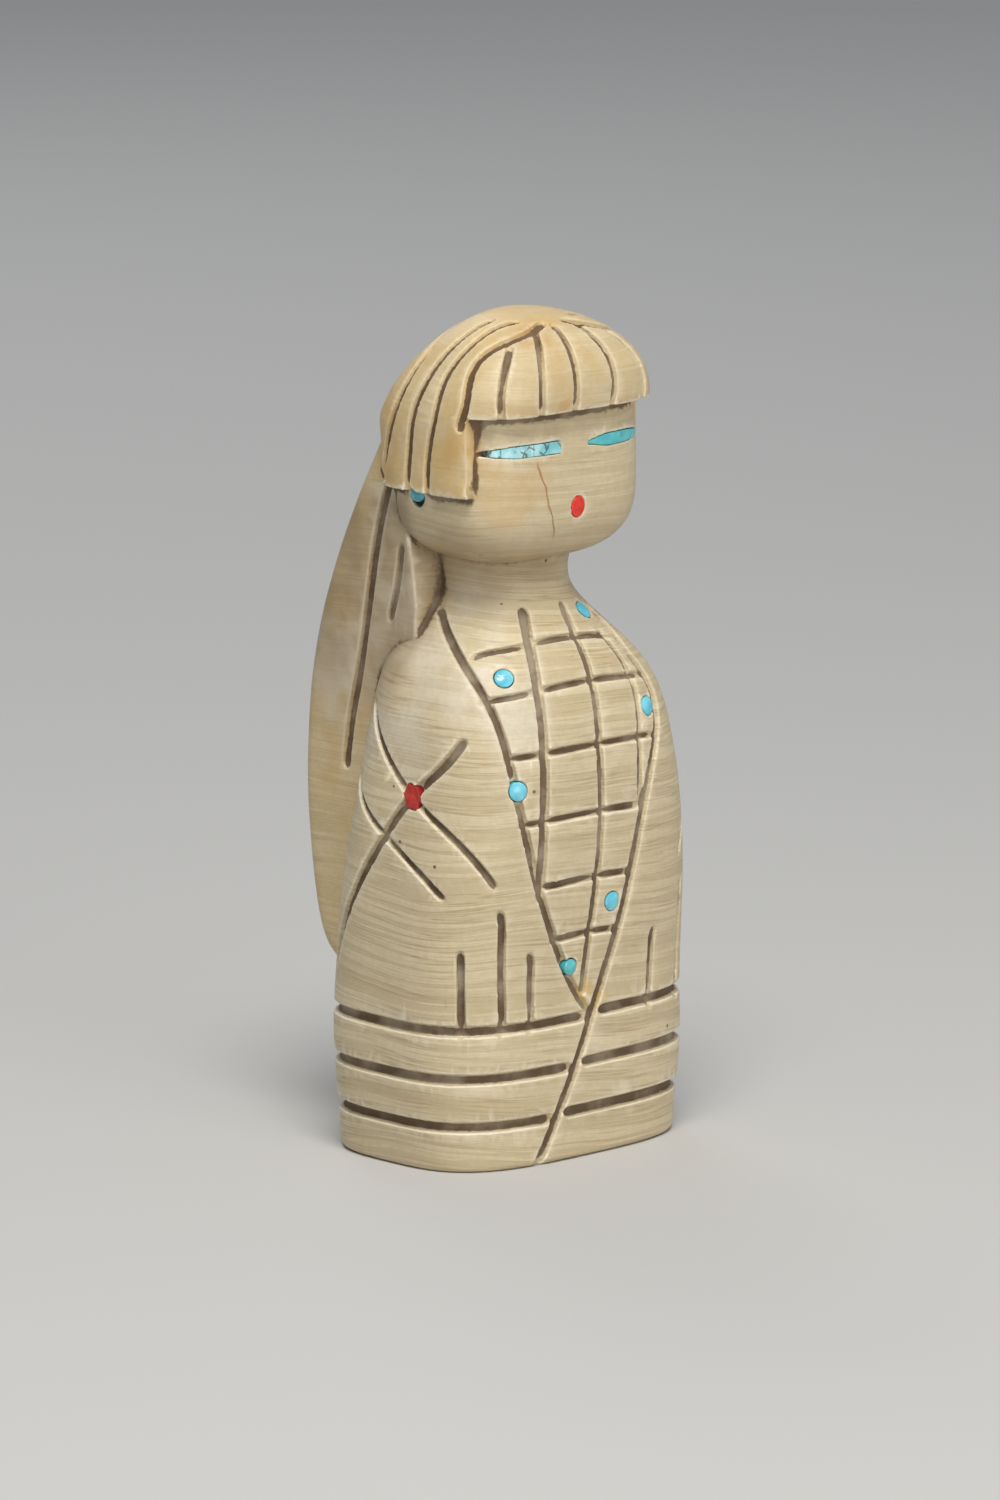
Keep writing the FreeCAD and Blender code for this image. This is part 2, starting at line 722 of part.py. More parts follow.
def mouth():
    """An upright oval of coral."""
    ring = Part.Ellipse(Vector(0, 0, 0), size("mouth_tall") / 2, size("mouth_width") / 2)
    outline = Part.Wire([ring.toShape()])
    outline.rotate(Vector(0, 0, 0), Vector(0, 0, 1), 90)
    origin = Vector(0.5, -3 * size("face_half_depth"), fringe_level - size("mouth_drop"))
    frame = (origin, Vector(1, 0, 0), Vector(0, 0, 1), Vector(0, 3 * size("face_half_depth"), 0))
    prism = prism_from("mouth_prism", outline, *frame, 0)
    wider = prism_from("mouth_room", outline, *frame, size("glue_gap"))
    set_flush("coral_mouth", prism, wider, head_skin, Vector(0, size("seat_depth"), 0), "head")


def sleeve_chips():
    """A six-sided chip of coral where the sleeve strokes cross, on each arm."""
    half_long = size("chip_long") / 2
    half_wide = size("chip_wide") / 2
    corners = [(0.0, 1.0), (0.95, 0.45), (0.9, -0.5), (0.0, -1.0), (-0.95, -0.5), (-0.9, 0.5)]
    points = [Vector(half_wide * x, half_long * y, 0) for x, y in corners]
    outline = Part.makePolygon(points + points[:1])
    outline.rotate(Vector(0, 0, 0), Vector(0, 0, 1), CHIP_TILT)
    for label, side in (("right_sleeve_chip", -1), ("left_sleeve_chip", 1)):
        place = torso_point(-side * CHIP_ANGLE, CHIP_SHARE)
        origin = Vector(side * 3 * size("skirt_half_width") / 2, place.y, place.z)
        depth = Vector(-side * size("skirt_half_width"), 0, 0)
        frame = (origin, Vector(0, -1, 0), Vector(0, 0, 1), depth)
        prism = prism_from(label + "_prism", outline, *frame, 0)
        wider = prism_from(label + "_room", outline, *frame, size("glue_gap"))
        set_flush(label, prism, wider, torso_skin, Vector(-side * size("seat_depth"), 0, 0), "torso")


chest_dots()
ear_drops()
eyes()
mouth()
sleeve_chips()
doc.recompute()


def inside(shape, point):
    return shape.isInside(point, 0.0001, False)


def is_sound(shape, probes):
    """One valid solid whose fine mesh closes, with stone taken away at every probe."""
    if not shape.isValid() or len(shape.Solids) != 1:
        return False
    if any(inside(shape.Solids[0], probe) for probe in probes):
        return False
    mesh = MeshPart.meshFromShape(Shape=shape, LinearDeflection=0.02, AngularDeflection=0.3)
    return mesh.isSolid()


def first_sound(make, probes):
    """Strokes that kiss can leave an open seam, so the same cut is tried at several tolerances."""
    for tolerance in (0.001, 0.0, 0.0001, 0.002, 0.0005):
        shape = make(tolerance)
        if is_sound(shape, probes):
            return shape
    raise RuntimeError("no tolerance gives a sound solid: move the strokes that meet at a graze")


def carved(form, strokes, seats_of=None):
    """A form with its strokes and seats cut out of it. A stroke that the cut missed is cut again."""
    cuts = [one.cutter for one in strokes] + [seat.Shape for seat in seats.get(seats_of, [])]
    wanted = [one for one in strokes if inside(form, one.probe)]

    def make(tolerance):
        shape = form.cut(cuts, tolerance)
        missed = [one for one in wanted if shape.Solids and inside(shape.Solids[0], one.probe)]
        print(f"tolerance {tolerance}: {len(wanted)} strokes, {len(missed)} to cut again")
        for one in missed:
            shape = shape.cut([one.cutter], tolerance)
        return shape

    return first_sound(make, [one.probe for one in wanted])


fall_cuts = fall_strokes()
hair_cuts = hair_strokes() + cap_back_strokes() + fall_cuts[:len(BACK_STRANDS)]
torso_cuts = chest_strokes() + skirt_strokes() + sleeve_strokes()
carved_forms = [
    carved(torso, torso_cuts, "torso"),
    carved(head, [], "head"),
    carved(hair, hair_cuts, "hair"),
    carved(fall, fall_cuts),
]
open_probes = [one.probe for one in torso_cuts + hair_cuts + fall_cuts
               if not any(inside(form, one.probe) for form in carved_forms)]
whole = first_sound(lambda tolerance: carved_forms[0].multiFuse(carved_forms[1:], tolerance), open_probes)
print(f"{len(open_probes)} strokes open in the whole")
figure = doc.addObject("Part::Feature", "carved_figure")
figure.Label = "carved_figure"
figure.Shape = whole
doc.recompute()


def check_and_write():
    """Stops on any failed object, then writes each sub-part."""
    broken = [o.Name for o in doc.Objects if {"Invalid", "Error"} & set(o.State)]
    if broken:
        raise RuntimeError(f"these objects failed: {broken}")
    os.makedirs("parts", exist_ok=True)
    for part in [figure] + inlays:
        shape = part.Shape
        if shape.isNull() or not shape.isValid() or not shape.Solids:
            raise RuntimeError(f"{part.Label} has no valid solid")
        shape.exportStep(os.path.join("parts", part.Label + ".step"))
        print(f"{part.Label}: {len(shape.Solids)} solid, {shape.Volume:.3f} mm3")


check_and_write()
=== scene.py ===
import math

import bmesh
import bpy
import numpy as np
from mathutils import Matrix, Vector, kdtree, noise


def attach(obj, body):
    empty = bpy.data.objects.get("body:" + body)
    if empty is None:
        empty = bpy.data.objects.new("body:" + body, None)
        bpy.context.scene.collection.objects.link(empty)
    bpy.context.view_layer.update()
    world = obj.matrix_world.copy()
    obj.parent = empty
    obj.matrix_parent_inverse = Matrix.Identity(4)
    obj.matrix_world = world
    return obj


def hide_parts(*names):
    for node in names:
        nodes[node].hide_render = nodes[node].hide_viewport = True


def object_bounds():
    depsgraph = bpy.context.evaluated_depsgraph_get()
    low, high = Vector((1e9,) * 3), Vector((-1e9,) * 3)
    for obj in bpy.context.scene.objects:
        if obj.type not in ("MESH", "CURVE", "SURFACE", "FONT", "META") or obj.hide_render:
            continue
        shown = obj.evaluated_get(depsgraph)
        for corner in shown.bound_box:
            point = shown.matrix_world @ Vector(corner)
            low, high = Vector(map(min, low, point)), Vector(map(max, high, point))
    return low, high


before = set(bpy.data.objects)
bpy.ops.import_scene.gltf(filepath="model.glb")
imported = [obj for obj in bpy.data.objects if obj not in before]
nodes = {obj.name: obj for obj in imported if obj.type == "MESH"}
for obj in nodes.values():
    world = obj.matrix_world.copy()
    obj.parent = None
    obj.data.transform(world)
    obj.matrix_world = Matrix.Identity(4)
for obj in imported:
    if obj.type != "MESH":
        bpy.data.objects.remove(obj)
cadLow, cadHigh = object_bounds()
mm = 0.001
tall = cadHigh.z - cadLow.z


# camera, first because every look at the piece depends on it

view = {
    "azimuth": -43.8,  # degrees round from straight in front
    "elevation": 11.37,
    "distance": 1101 * mm,
    "lens": 262.7,
    "aimHeight": 0.5,  # share of the height
    "aimRight": -0.765 * mm,
    "aimUp": -2.62 * mm,
}


def setCamera(look):
    a, e = math.radians(look["azimuth"]), math.radians(look["elevation"])
    back = Vector((math.sin(a) * math.cos(e), -math.cos(a) * math.cos(e), math.sin(e)))
    right = Vector((math.cos(a), math.sin(a), 0))
    up = right.cross(-back)
    aim = Vector((0, 0, cadLow.z + tall * look["aimHeight"]))
    aim += right * look["aimRight"] + up * look["aimUp"]
    lensData = bpy.data.cameras.new("studioCamera")
    lensData.lens = look["lens"]
    lensData.clip_start, lensData.clip_end = 0.01, 20
    camera = bpy.data.objects.new("studioCamera", lensData)
    bpy.context.scene.collection.objects.link(camera)
    camera.location = aim + back * look["distance"]
    camera.rotation_mode = "QUATERNION"
    camera.rotation_quaternion = (-back).to_track_quat("-Z", "Y")
    bpy.context.scene.camera = camera


setCamera(view)
print("camera set")


# mesh tools

def weldedCopy(nodeName, pieceName):
    mesh = nodes[nodeName].data.copy()
    mesh.name = pieceName
    mesh.materials.clear()
    soup = bmesh.new()
    soup.from_mesh(mesh)
    bmesh.ops.remove_doubles(soup, verts=soup.verts, dist=0.0005 * mm)
    soup.to_mesh(mesh)
    soup.free()
    piece = bpy.data.objects.new(pieceName, mesh)
    bpy.context.scene.collection.objects.link(piece)
    return piece


def applyModifiers(piece):
    graph = bpy.context.evaluated_depsgraph_get()
    fresh = bpy.data.meshes.new_from_object(piece.evaluated_get(graph))
    fresh.name = piece.name
    piece.modifiers.clear()
    piece.data = fresh


def remeshed(piece, voxel):
    step = piece.modifiers.new("remesh", "REMESH")
    step.mode = "VOXEL"
    step.voxel_size = voxel
    applyModifiers(piece)


def thinned(piece, faceLimit):
    count = sum(len(p.vertices) - 2 for p in piece.data.polygons)
    if count > faceLimit:
        step = piece.modifiers.new("thin", "DECIMATE")
        step.ratio = faceLimit / count
        applyModifiers(piece)


def pointsOf(mesh):
    flat = np.empty(len(mesh.vertices) * 3, np.float32)
    mesh.vertices.foreach_get("co", flat)
    return flat.reshape(-1, 3).astype(float)


def normalsOf(mesh):
    flat = np.empty(len(mesh.vertices) * 3, np.float32)
    mesh.vertex_normals.foreach_get("vector", flat)
    return flat.reshape(-1, 3).astype(float)


def pairsOf(mesh):
    flat = np.empty(len(mesh.edges) * 2, np.int32)
    mesh.edges.foreach_get("vertices", flat)
    return flat.reshape(-1, 2)


def putPoints(mesh, points):
    mesh.vertices.foreach_set("co", points.astype(np.float32).ravel())
    mesh.update()


def averaged(values, pairs, rounds, share=0.5):
    values = values.reshape(len(values), -1).copy()
    count = np.maximum(np.bincount(pairs.ravel(), minlength=len(values)), 1)
    for _ in range(rounds):
        for column in range(values.shape[1]):
            one = values[:, column]
            total = np.bincount(pairs[:, 0], one[pairs[:, 1]], len(values))
            total += np.bincount(pairs[:, 1], one[pairs[:, 0]], len(values))
            values[:, column] = one + share * (total / count - one)
    return values


def softened(points, pairs, rounds):
    for _ in range(rounds):  # out again a little further than in, so nothing shrinks
        points = averaged(points, pairs, 1, 0.5)
        points = averaged(points, pairs, 1, -0.52)
    return points


def noiseAt(points, pitch, seed):
    shift = Vector((seed * 7.3, seed * 3.1, seed * 5.7))
    return np.array([noise.noise(Vector(p) / pitch + shift) for p in points])


def ramp(values, low, high):
    t = np.clip((values - low) / (high - low), 0, 1)
    return t * t * (3 - 2 * t)


def putAttribute(mesh, name, values):
    layer = mesh.attributes.get(name) or mesh.attributes.new(name, "FLOAT", "POINT")
    layer.data.foreach_set("value", values.astype(np.float32))


def smoothShaded(mesh):
    mesh.polygons.foreach_set("use_smooth", np.ones(len(mesh.polygons), bool))
    mesh.update()


# node tools

def addNode(tree, kind, **settings):
    node = tree.nodes.new(kind)
    for name, value in settings.items():
        if hasattr(node, name):
            setattr(node, name, value)
        else:
            node.inputs[name.replace("_", " ")].default_value = value
    return node


def feed(tree, socket, value):
    if hasattr(value, "is_linked"):
        tree.links.new(value, socket)
    else:
        socket.default_value = value


def maths(tree, operation, *values):
    node = addNode(tree, "ShaderNodeMath", operation=operation)
    for socket, value in zip(node.inputs, values):
        feed(tree, socket, value)
    return node.outputs[0]


def rise(tree, value, low, high, start=0.0, end=1.0):
    node = addNode(tree, "ShaderNodeMapRange", interpolation_type="SMOOTHSTEP")
    for socket, number in zip(node.inputs, (value, low, high, start, end)):
        feed(tree, socket, number)
    return node.outputs[0]


def tint(tree, share, base, top, how="MIX"):
    node = addNode(tree, "ShaderNodeMix", data_type="RGBA", blend_type=how)
    feed(tree, node.inputs[0], share)
    feed(tree, node.inputs[6], base)
    feed(tree, node.inputs[7], top)
    return node.outputs[2]


def grain(tree, vector, scale, detail=2.0, roughness=0.5, output=0):
    node = addNode(tree, "ShaderNodeTexNoise", Scale=scale, Detail=detail, Roughness=roughness)
    feed(tree, node.inputs["Vector"], vector)
    return node.outputs[output]


def colour(red, green, blue):
    def linear(part):
        part = part / 255
        return part / 12.92 if part <= 0.04045 else ((part + 0.055) / 1.055) ** 2.4
    return (linear(red), linear(green), linear(blue), 1)


def newMaterial(name):
    material = bpy.data.materials.new(name)
    material.use_nodes = True
    tree = material.node_tree
    shader = next(n for n in tree.nodes if n.type == "BSDF_PRINCIPLED")
    place = addNode(tree, "ShaderNodeTexCoord").outputs["Object"]
    return material, tree, shader, place


def bumped(tree, shader, layers):
    normal = None
    for height, depth in layers:
        node = addNode(tree, "ShaderNodeBump", Strength=1.0)
        feed(tree, node.inputs["Distance"], depth)
        feed(tree, node.inputs["Height"], height)
        if normal:
            feed(tree, node.inputs["Normal"], normal)
        normal = node.outputs[0]
    feed(tree, shader.inputs["Normal"], normal)


# banded stone

stoneLook = {
    "mid": colour(208, 191, 154),
    "pale": colour(226, 212, 180),
    "dark": colour(176, 154, 116),
    "vein": colour(140, 112, 76),
    "dust": colour(98, 78, 58),  # packed into the strokes
    "palestDust": colour(152, 138, 118),
    # pale worn edge on the lips of the strokes, and painted highlight where the lips face upward
    "lipWearAndHighlight": colour(240, 230, 206),
    "hairDust": colour(88, 58, 34),
    # colour for grime and painted shade under the jaw and in the nape
    "grimeAndShade": colour(138, 112, 80),
    "hair": colour(210, 180, 124),
    "hairStain": colour(200, 156, 88),
    # painted highlight: pale clouds on the -X side at shoulder height
    "paintedSheen": colour(222, 212, 192),
    "yellow": colour(205, 168, 78),
    "crack": colour(176, 112, 60),
    "pit": colour(72, 60, 48),
    "bedTilt": (0.045, -0.02),  # rise of the beds along X and Y
    "bedSway": 3.2 * mm,  # how far a bed wanders up and down
    "bedPitch": 0.5 * mm,
    "bedReach": 22 * mm,  # length of a streak along its bed
    "broadPitch": 2.4 * mm,
    "broadReach": 45 * mm,
    "hairlineShare": 0.6,  # of the bed pitch
    "hairlineReach": 26 * mm,
    "calm": (56 * mm, 64 * mm),  # the beds show less from here up, on the head
    "yellowShare": 0.6,
    "yellowSpots": (((-1.6, -12.6, 17.2), 1.9), ((0.6, -12.6, 15.9), 1.6)),  # mm
    "stains": (  # centre and reach in mm, strength
        ((-4.3, -8.0, 83.6), 2.6, 0.5),
        ((-2.4, -10.4, 76.6), 1.5, 0.4),
        ((-3.0, -9.4, 80.8), 1.3, 0.4),
        ((-8.6, -9.2, 67.4), 3.8, 0.3),
        ((-10.2, -8.0, 71.6), 2.2, 0.35),
        ((-5.0, -9.6, 69.0), 2.4, 0.22),
    ),
    "stainWobble": 1.6 * mm,
    "crackLean": 0.369,  # steps over in X for each step down
    "crackPlace": 21.08 * mm,
    "crackWander": 1.1 * mm,
    "crackEdge": (0.13 * mm, 0.03 * mm),  # from no crack to all crack, off its middle line
    "crackFoot": (62.6 * mm, 63.6 * mm),
    "crackTop": (71.4 * mm, 70.2 * mm),
    "crackBack": (-6.0 * mm, -7.5 * mm),
    "pitScale": 250.0,
    "pitEdge": (0.055, 0.025),
    "pitRare": (0.66, 0.7),  # only cells with a draw above this have a pit
    "packedFrom": (0.15, 0.6),  # share of a stroke's depth at which dust starts and is whole
}


def marked(tree, name):
    return addNode(tree, "ShaderNodeAttribute", attribute_name=name).outputs["Fac"]


def beddedFace(tree, look, place, axes):
    x, y, z = axes

    def beds(pitch, reach, detail, seed):  # noise drawn out flat along the beds
        node = addNode(tree, "ShaderNodeCombineXYZ")
        feed(tree, node.inputs[0], maths(tree, "MULTIPLY_ADD", x, 1 / reach, seed))
        feed(tree, node.inputs[1], maths(tree, "MULTIPLY", y, 1 / reach))
        feed(tree, node.inputs[2], maths(tree, "DIVIDE", bedHeight, pitch))
        return grain(tree, node.outputs[0], 1.0, detail, 0.55)

    def thinLine(bed, level, width, breaks):  # where a bed's tone passes a level
        off = maths(tree, "ABSOLUTE", maths(tree, "SUBTRACT", bed, level))
        return maths(tree, "MULTIPLY", rise(tree, off, width, 0.0), breaks)

    sway = maths(tree, "MULTIPLY_ADD", grain(tree, place, 48, 1.0),
                 look["bedSway"], -look["bedSway"] / 2)
    slope = maths(tree, "ADD", maths(tree, "MULTIPLY", x, look["bedTilt"][0]),
                  maths(tree, "MULTIPLY", y, look["bedTilt"][1]))
    bedHeight = maths(tree, "ADD", maths(tree, "ADD", z, slope), sway)
    fine = beds(look["bedPitch"], look["bedReach"], 2.0, 0.0)
    broad = beds(look["broadPitch"], look["broadReach"], 2.0, 4.0)
    hairline = beds(look["hairlineShare"] * look["bedPitch"], look["hairlineReach"], 1.0, 9.0)
    patch = grain(tree, place, 95, 3.0)

    strong = rise(tree, z, *look["calm"], 1.0, 0.5)
    face = tint(tree, rise(tree, fine, 0.34, 0.66), look["dark"], look["pale"])
    face = tint(tree, maths(tree, "MULTIPLY_ADD", strong, -0.16, 0.94), face, look["mid"])
    face = tint(tree, rise(tree, broad, 0.46, 0.28, 0.0, 0.35), face, look["pale"])
    for share, tone in (
        (rise(tree, broad, 0.5, 0.75, 0.0, 0.3), "dark"),
        (thinLine(fine, 0.47, 0.035, rise(tree, patch, 0.38, 0.6, 0.05, 0.42)), "vein"),
        (thinLine(hairline, 0.5, 0.06, rise(tree, patch, 0.62, 0.4, 0.05, 0.4)), "dark"),
    ):
        face = tint(tree, maths(tree, "MULTIPLY", strong, share), face, look[tone])
    face = tint(tree, thinLine(fine, 0.57, 0.04, 0.4), face, look["pale"])
    return face, fine


def stainedFace(tree, look, place, face, hairShare):
    def near(centre, reach):
        gap = addNode(tree, "ShaderNodeVectorMath", operation="DISTANCE")
        feed(tree, gap.inputs[0], place)
        gap.inputs[1].default_value = [c * mm for c in centre]
        wobble = maths(tree, "MULTIPLY_ADD", grain(tree, place, 700, 2.0),
                       look["stainWobble"], -look["stainWobble"] / 2)
        off = maths(tree, "ADD", gap.outputs["Value"], wobble)
        return rise(tree, off, reach * mm, 0.55 * reach * mm)

    mottle = rise(tree, grain(tree, place, 210, 3.0), 0.25, 0.7, 0.45, 1.0)
    face = tint(tree, maths(tree, "MULTIPLY", hairShare, mottle), face, look["hair"])
    blots = rise(tree, grain(tree, place, 130, 2.0), 0.54, 0.66, 0.0, 0.55)
    face = tint(tree, maths(tree, "MULTIPLY", hairShare, blots), face, look["hairStain"])

    # painted highlight: pale clouds on the -X side at shoulder height
    sheenClouds = rise(tree, grain(tree, place, 160, 3.0), 0.38, 0.6)
    sheenClouds = maths(tree, "MULTIPLY", marked(tree, "paintedSheen"), sheenClouds)
    face = tint(tree, maths(tree, "MULTIPLY", sheenClouds, 0.6), face, look["paintedSheen"])

    yellow = maths(tree, "MAXIMUM", *(near(*spot) for spot in look["yellowSpots"]))
    face = tint(tree, maths(tree, "MULTIPLY", yellow, look["yellowShare"]), face, look["yellow"])
    for centre, reach, share in look["stains"]:
        stain = maths(tree, "MULTIPLY", near(centre, reach), share)
        face = tint(tree, stain, face, look["hairStain"])

    # grime and painted shade under the jaw and in the nape, in patches
    patchy = rise(tree, grain(tree, place, 300, 3.0), 0.2, 0.7, 0.5, 0.9)
    grimeAndShade = maths(tree, "MULTIPLY", marked(tree, "grimeAndShade"), patchy)
    face = tint(tree, maths(tree, "MULTIPLY", grimeAndShade, 0.75), face, look["grimeAndShade"])
    speckle = rise(tree, grain(tree, place, 1500, 3.0, 0.65), 0.38, 0.66, 0.0, 0.16)
    return tint(tree, speckle, face, look["dark"])


def cheekCrack(tree, look, place, axes):
    x, y, z = axes
    wander = maths(tree, "MULTIPLY_ADD", grain(tree, place, 420, 2.0),
                   look["crackWander"], -look["crackWander"] / 2)
    along = maths(tree, "MULTIPLY_ADD", z, look["crackLean"], x)
    off = maths(tree, "ADD", maths(tree, "SUBTRACT", along, look["crackPlace"]), wander)
    crack = rise(tree, maths(tree, "ABSOLUTE", off), *look["crackEdge"])
    for axis, ends in ((z, look["crackFoot"]), (z, look["crackTop"]), (y, look["crackBack"])):
        crack = maths(tree, "MULTIPLY", crack, rise(tree, axis, *ends))
    return crack


def smallPits(tree, look, place):
    cells = addNode(tree, "ShaderNodeTexVoronoi", Scale=look["pitScale"], Randomness=1.0)
    feed(tree, cells.inputs["Vector"], place)
    draw = addNode(tree, "ShaderNodeSeparateColor")
    feed(tree, draw.inputs[0], cells.outputs["Color"])
    return maths(tree, "MULTIPLY", rise(tree, cells.outputs["Distance"], *look["pitEdge"]),
                 rise(tree, draw.outputs[0], *look["pitRare"]))


def bandedStone(look):
    material, tree, shader, place = newMaterial("bandedStone")
    split = addNode(tree, "ShaderNodeSeparateXYZ")
    feed(tree, split.inputs[0], place)
    hairShare = marked(tree, "hair")
    face, fine = beddedFace(tree, look, place, split.outputs)
    face = stainedFace(tree, look, place, face, hairShare)
    crack = cheekCrack(tree, look, place, split.outputs)
    face = tint(tree, maths(tree, "MULTIPLY", crack, 0.7), face, look["crack"])
    pits = smallPits(tree, look, place)
    face = tint(tree, maths(tree, "MULTIPLY", pits, 0.85), face, look["pit"])

    # pale lips first, partly worn edge and partly painted highlight, then the dust that fills the
    # strokes
    patches = rise(tree, grain(tree, place, 260, 3.0), 0.4, 0.7)
    dust = tint(tree, patches, look["dust"], look["palestDust"])
    dust = tint(tree, maths(tree, "MULTIPLY", hairShare, 0.75), dust, look["hairDust"])
    ragged = maths(tree, "MULTIPLY_ADD", grain(tree, place, 1900, 2.0), 0.5, -0.25)
    packed = maths(tree, "ADD", marked(tree, "groove"), ragged)
    packed = rise(tree, packed, *look["packedFrom"])
    face = tint(tree, maths(tree, "MULTIPLY", marked(tree, "lipWearAndHighlight"), 0.88), face, look["lipWearAndHighlight"])
    face = tint(tree, maths(tree, "MULTIPLY", packed, 0.93), face, dust)
    feed(tree, shader.inputs["Base Color"], face)

    rough = maths(tree, "MULTIPLY_ADD", grain(tree, place, 330, 3.0), 0.22, 0.33)
    rough = maths(tree, "ADD", rough, maths(tree, "MULTIPLY", packed, 0.4))
    feed(tree, shader.inputs["Roughness"], rough)
    shader.inputs["IOR"].default_value = 1.5
    shader.inputs["Specular IOR Level"].default_value = 0.42
    crumbs = maths(tree, "MULTIPLY_ADD", packed, 0.16 * mm, 0.012 * mm)  # deeper in the strokes
    holes = maths(tree, "SUBTRACT", 1.0, maths(tree, "MAXIMUM", pits, crack))
    bumped(tree, shader, [
        (fine, 0.035 * mm),
        (grain(tree, place, 3600, 3.0, 0.65), 0.022 * mm),
        (grain(tree, place, 900, 3.0, 0.6), crumbs),
        (holes, 0.08 * mm),
    ])
    return material


stoneMaterial = bandedStone(stoneLook)
print("stone mixed")

figure = {
    "voxel": 0.15 * mm,
    "softRounds": 1,
    "nearRounds": 14,  # evens out the lips of a stroke
    "fillRounds": 80,  # evens out the stroke itself
    "outwardRounds": 60,
    "strokeDepth": (0.02, 0.24),  # mm below the skin at which a stroke starts and is whole
    "lipHeight": (0.02, 0.06),
    "handWave": 0.07 * mm,  # slow unevenness of hand grinding
    "wavePitch": 7 * mm,
    "chip": 0.09 * mm,  # crumbled lips of the strokes
    "chipPitch": 0.75 * mm,
    "flatBase": 0.6 * mm,
    "faceLimit": 190000,
    "headFront": -7.2 * mm,
    "fringeEdge": 75.5 * mm,
    "lockEdge": 67.6 * mm,
    "fallStart": 8.4 * mm,
}


def span(values, start, full, fade, stop):  # in mm, 1 from full to fade
    return ramp(values, start * mm, full * mm) * ramp(values, stop * mm, fade * mm)


def sheltered(points):  # where forms meet in a corner: under the chin, beside the long hair
    x, y, z = np.abs(points[:, 0]), points[:, 1], points[:, 2]
    chin = span(z, 57.2, 58.2, 62.5, 64) * ramp(y, 3 * mm, 1 * mm)
    nape = span(z, 44, 47, 66, 67) * ramp(x, 9.9 * mm, 9.5 * mm)
    flank = span(x, 10.5, 10.7, 12.5, 14) * ramp(z, 58 * mm, 56 * mm)
    return np.maximum(chin, np.maximum(nape, flank) * span(y, 1.5, 3, 12.5, 13.5))


def strokeMarks(spec, points, normals, pairs):
    near = averaged(points, pairs, spec["nearRounds"])
    wide = averaged(near, pairs, spec["fillRounds"], 0.8)
    outward = averaged(normals, pairs, spec["outwardRounds"], 0.8)
    outward /= np.linalg.norm(outward, axis=1)[:, None]
    hollow = ((near - points) * normals).sum(1) / mm  # above zero in a stroke, below on its lips
    deep = ((wide - points) * outward).sum(1) / mm  # how far a point lies below the skin
    groove = ramp(deep, *spec["strokeDepth"]) * (1 - 0.7 * sheltered(points))
    upward = ramp(normals[:, 2] - outward[:, 2], 0.03, 0.3)  # lips facing upward get more of the pale lip colour: painted highlight
    lipWearAndHighlight = ramp(-averaged(hollow, pairs, 2)[:, 0], *spec["lipHeight"])
    return groove, lipWearAndHighlight * (1 - 0.7 * groove) * (0.3 + 0.7 * upward)


def regionMarks(spec, points):
    x, y, z = points.T
    onHead = ramp(z, spec["lockEdge"], spec["lockEdge"] + 0.5 * mm)
    behindFace = ramp(y, spec["headFront"] - 0.1 * mm, spec["headFront"] + 0.2 * mm)
    fringe = ramp(z, spec["fringeEdge"], spec["fringeEdge"] + 0.4 * mm)
    fringe *= 1 - 0.6 * ramp(-y, 4 * mm, 8 * mm)
    fall = ramp(y, spec["fallStart"], spec["fallStart"] + 1.2 * mm) * ramp(z, 14 * mm, 17 * mm)
    fall *= 0.6 * ramp(np.abs(x), 10.9 * mm, 10.65 * mm)
    jaw = span(z, 56.5, 60, 60.8, 67.5)
    nape = span(z, 40, 52, 65, 68) * ramp(y, 0, 3 * mm)
    return {
        "hair": np.maximum(np.maximum(onHead * behindFace, fringe), fall),
        # grime and painted shade under the jaw and in the nape, less towards the front
        "grimeAndShade": np.maximum(jaw, nape) * (1 - 0.5 * ramp(-y, 6 * mm, 9 * mm)),
        # painted highlight on the -X side, from 36 to 64 mm up
        "paintedSheen": span(z, 36, 46, 56, 64) * ramp(-x, 3 * mm, 9 * mm),
    }


def worn(spec, points, normals, groove, lipWearAndHighlight):
    grounded = ramp(points[:, 2], 0.0, spec["flatBase"])
    wave = noiseAt(points, spec["wavePitch"], 1) * spec["handWave"]
    chips = np.minimum(noiseAt(points, spec["chipPitch"], 2), 0.12) * spec["chip"]
    broken = chips * np.maximum(lipWearAndHighlight, groove * 0.8)
    return points + normals * ((wave + broken) * grounded)[:, None]


def carveFigure(spec):
    piece = weldedCopy("carved_figure", "stoneMaiden")
    remeshed(piece, spec["voxel"])
    mesh = piece.data
    pairs = pairsOf(mesh)
    points = softened(pointsOf(mesh), pairs, spec["softRounds"])
    putPoints(mesh, points)
    normals = normalsOf(mesh)
    groove, lipWearAndHighlight = strokeMarks(spec, points, normals, pairs)
    points = worn(spec, points, normals, groove, lipWearAndHighlight)
    putPoints(mesh, points)
    marks = {"groove": groove, "lipWearAndHighlight": lipWearAndHighlight} | regionMarks(spec, points)

    # the marks are carried over to the thinner mesh by its nearest old point
    tree = kdtree.KDTree(len(points))
    for i, p in enumerate(points):
        tree.insert(p, i)
    tree.balance()
    thinned(piece, spec["faceLimit"])
    mesh = piece.data
    nearest = np.array([tree.find(v.co)[1] for v in mesh.vertices])
    for name, values in marks.items():
        putAttribute(mesh, name, values[nearest])
    smoothShaded(mesh)
    mesh.materials.append(stoneMaterial)
    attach(piece, "root")
    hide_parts("carved_figure")
    return piece


stoneMaiden = carveFigure(figure)
print("figure carved:", len(stoneMaiden.data.polygons), "faces")


# turquoise and coral

